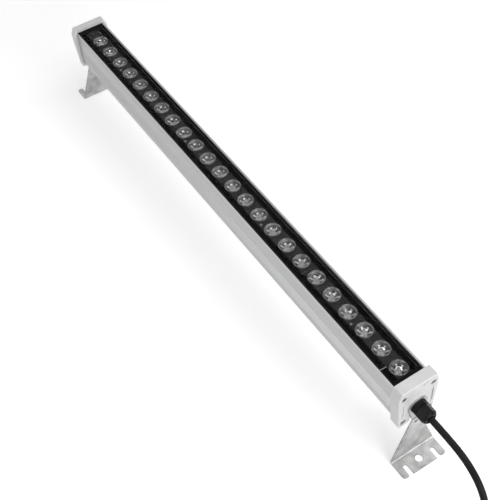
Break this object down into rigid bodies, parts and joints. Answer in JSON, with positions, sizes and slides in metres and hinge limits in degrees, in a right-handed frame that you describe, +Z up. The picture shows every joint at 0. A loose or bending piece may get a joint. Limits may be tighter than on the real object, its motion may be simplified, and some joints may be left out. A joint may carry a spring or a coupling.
{
  "type": "outdoor wall washer light",
  "caption": "Long slim outdoor wall washer: aluminium housing, glass front over a row of lenses, end caps tilting in sheet-metal foot brackets, cable gland and coiled lead with connector.",
  "frame": {"origin": "on the mounting surface, under the middle of the lamp", "axes": "+X along the lamp towards the end with the cable gland, +Y across the lamp, +Z up from the mounting surface, the way the glass faces at rest"},
  "size_m": [1.39, 0.136, 0.1805],
  "materials": {
    "cast_aluminium": "satin, fine cast texture",
    "brushed_aluminium": "brushed and clear anodised, fine lengthwise grooves",
    "gasket_rubber": "matt",
    "screw_steel": "bright",
    "clear_glass": "clear, toughened",
    "black_trim": "gloss",
    "dark_strip": "satin",
    "lens_cup_plastic": "semi-gloss",
    "lens_reflector": "bright metallised",
    "clear_lens": "clear, polished",
    "led_board_grey": "grey solder mask on aluminium",
    "thermal_pad_grey": "matt",
    "led_body": "matt",
    "phosphor_yellow": "matt silicone",
    "small_screw_zinc": "zinc plated",
    "pillar_plastic": "matt nylon",
    "wire_white": "smooth insulation",
    "tinned_link": "tinned",
    "driver_metal": "plain sheet",
    "driver_board_green": "solder mask",
    "component_black": "satin",
    "terminal_plastic": "matt",
    "gland_plastic": "satin nylon",
    "bracket_steel": "brushed stainless",
    "lead_rubber": "satin",
    "tie_fabric": "hook-and-loop strap",
    "connector_plastic": "satin nylon",
    "pin_brass": "bright"
  },
  "bodies": {
    "cable_end_mount": {"cable_end_bracket": "bracket_steel", "power_lead": "lead_rubber", "lead_coil": "lead_rubber", "lead_tail": "lead_rubber", "coil_tie": "tie_fabric", "connector_clamp_nut": "connector_plastic", "connector_body": "connector_plastic", "connector_ring": "connector_plastic", "connector_pins": "pin_brass"},
    "lamp": {"cable_end_cap": "cast_aluminium", "far_end_cap": "cast_aluminium", "housing_extrusion": "brushed_aluminium", "cable_end_gasket": "gasket_rubber", "far_end_gasket": "gasket_rubber", "glass_seal": "gasket_rubber", "gland_seal": "gasket_rubber", "cable_end_cap_screws": "screw_steel", "far_end_cap_screws": "screw_steel", "front_glass": "clear_glass", "front_side_trim": "black_trim", "rear_side_trim": "black_trim", "cover_strip_1": "dark_strip", "cover_strip_2": "dark_strip", "cover_strip_3": "dark_strip", "cover_strip_4": "dark_strip", "lens_holders": "lens_cup_plastic", "lens_reflectors": "lens_reflector", "lens_group_1": "clear_lens", "lens_group_2": "clear_lens", "lens_group_3": "clear_lens", "lens_group_4": "clear_lens", "led_board_1": "led_board_grey", "led_board_2": "led_board_grey", "led_board_3": "led_board_grey", "led_board_4": "led_board_grey", "thermal_pads": "thermal_pad_grey", "led_packages": "led_body", "led_phosphors": "phosphor_yellow", "strip_screws": "small_screw_zinc", "board_screws": "small_screw_zinc", "driver_lid_screws": "small_screw_zinc", "earth_screw": "small_screw_zinc", "strip_pillars": "pillar_plastic", "board_jumpers": "wire_white", "driver_output_wires": "wire_white", "mains_cores": "wire_white", "strip_link": "tinned_link", "earth_lug": "tinned_link", "driver_case": "driver_metal", "driver_lid": "driver_metal", "driver_board": "driver_board_green", "driver_components": "component_black", "terminal_block": "terminal_plastic", "gland_body": "gland_plastic", "gland_nut": "gland_plastic", "gland_locknut": "gland_plastic", "far_pivot_plug": "gland_plastic", "far_pivot_locknut": "gland_plastic", "lead_inside_gland": "lead_rubber"},
    "far_end_mount": {"far_end_bracket": "bracket_steel"}
  },
  "joints": [
    {"name": "lamp_tilt", "type": "hinge", "parent": "cable_end_mount", "child": "lamp", "pos_m": [0.5, 0, 0.13], "axis": [1, 0, 0], "range_deg": [-90, 90]},
    {"name": "far_bracket_swivel", "type": "hinge", "parent": "lamp", "child": "far_end_mount", "pos_m": [-0.5, 0, 0.13], "axis": [1, 0, 0], "range_deg": [-90, 90]}
  ],
  "couplings": [
    {"joint": "far_bracket_swivel", "follows": "lamp_tilt", "ratio": -1}
  ]
}
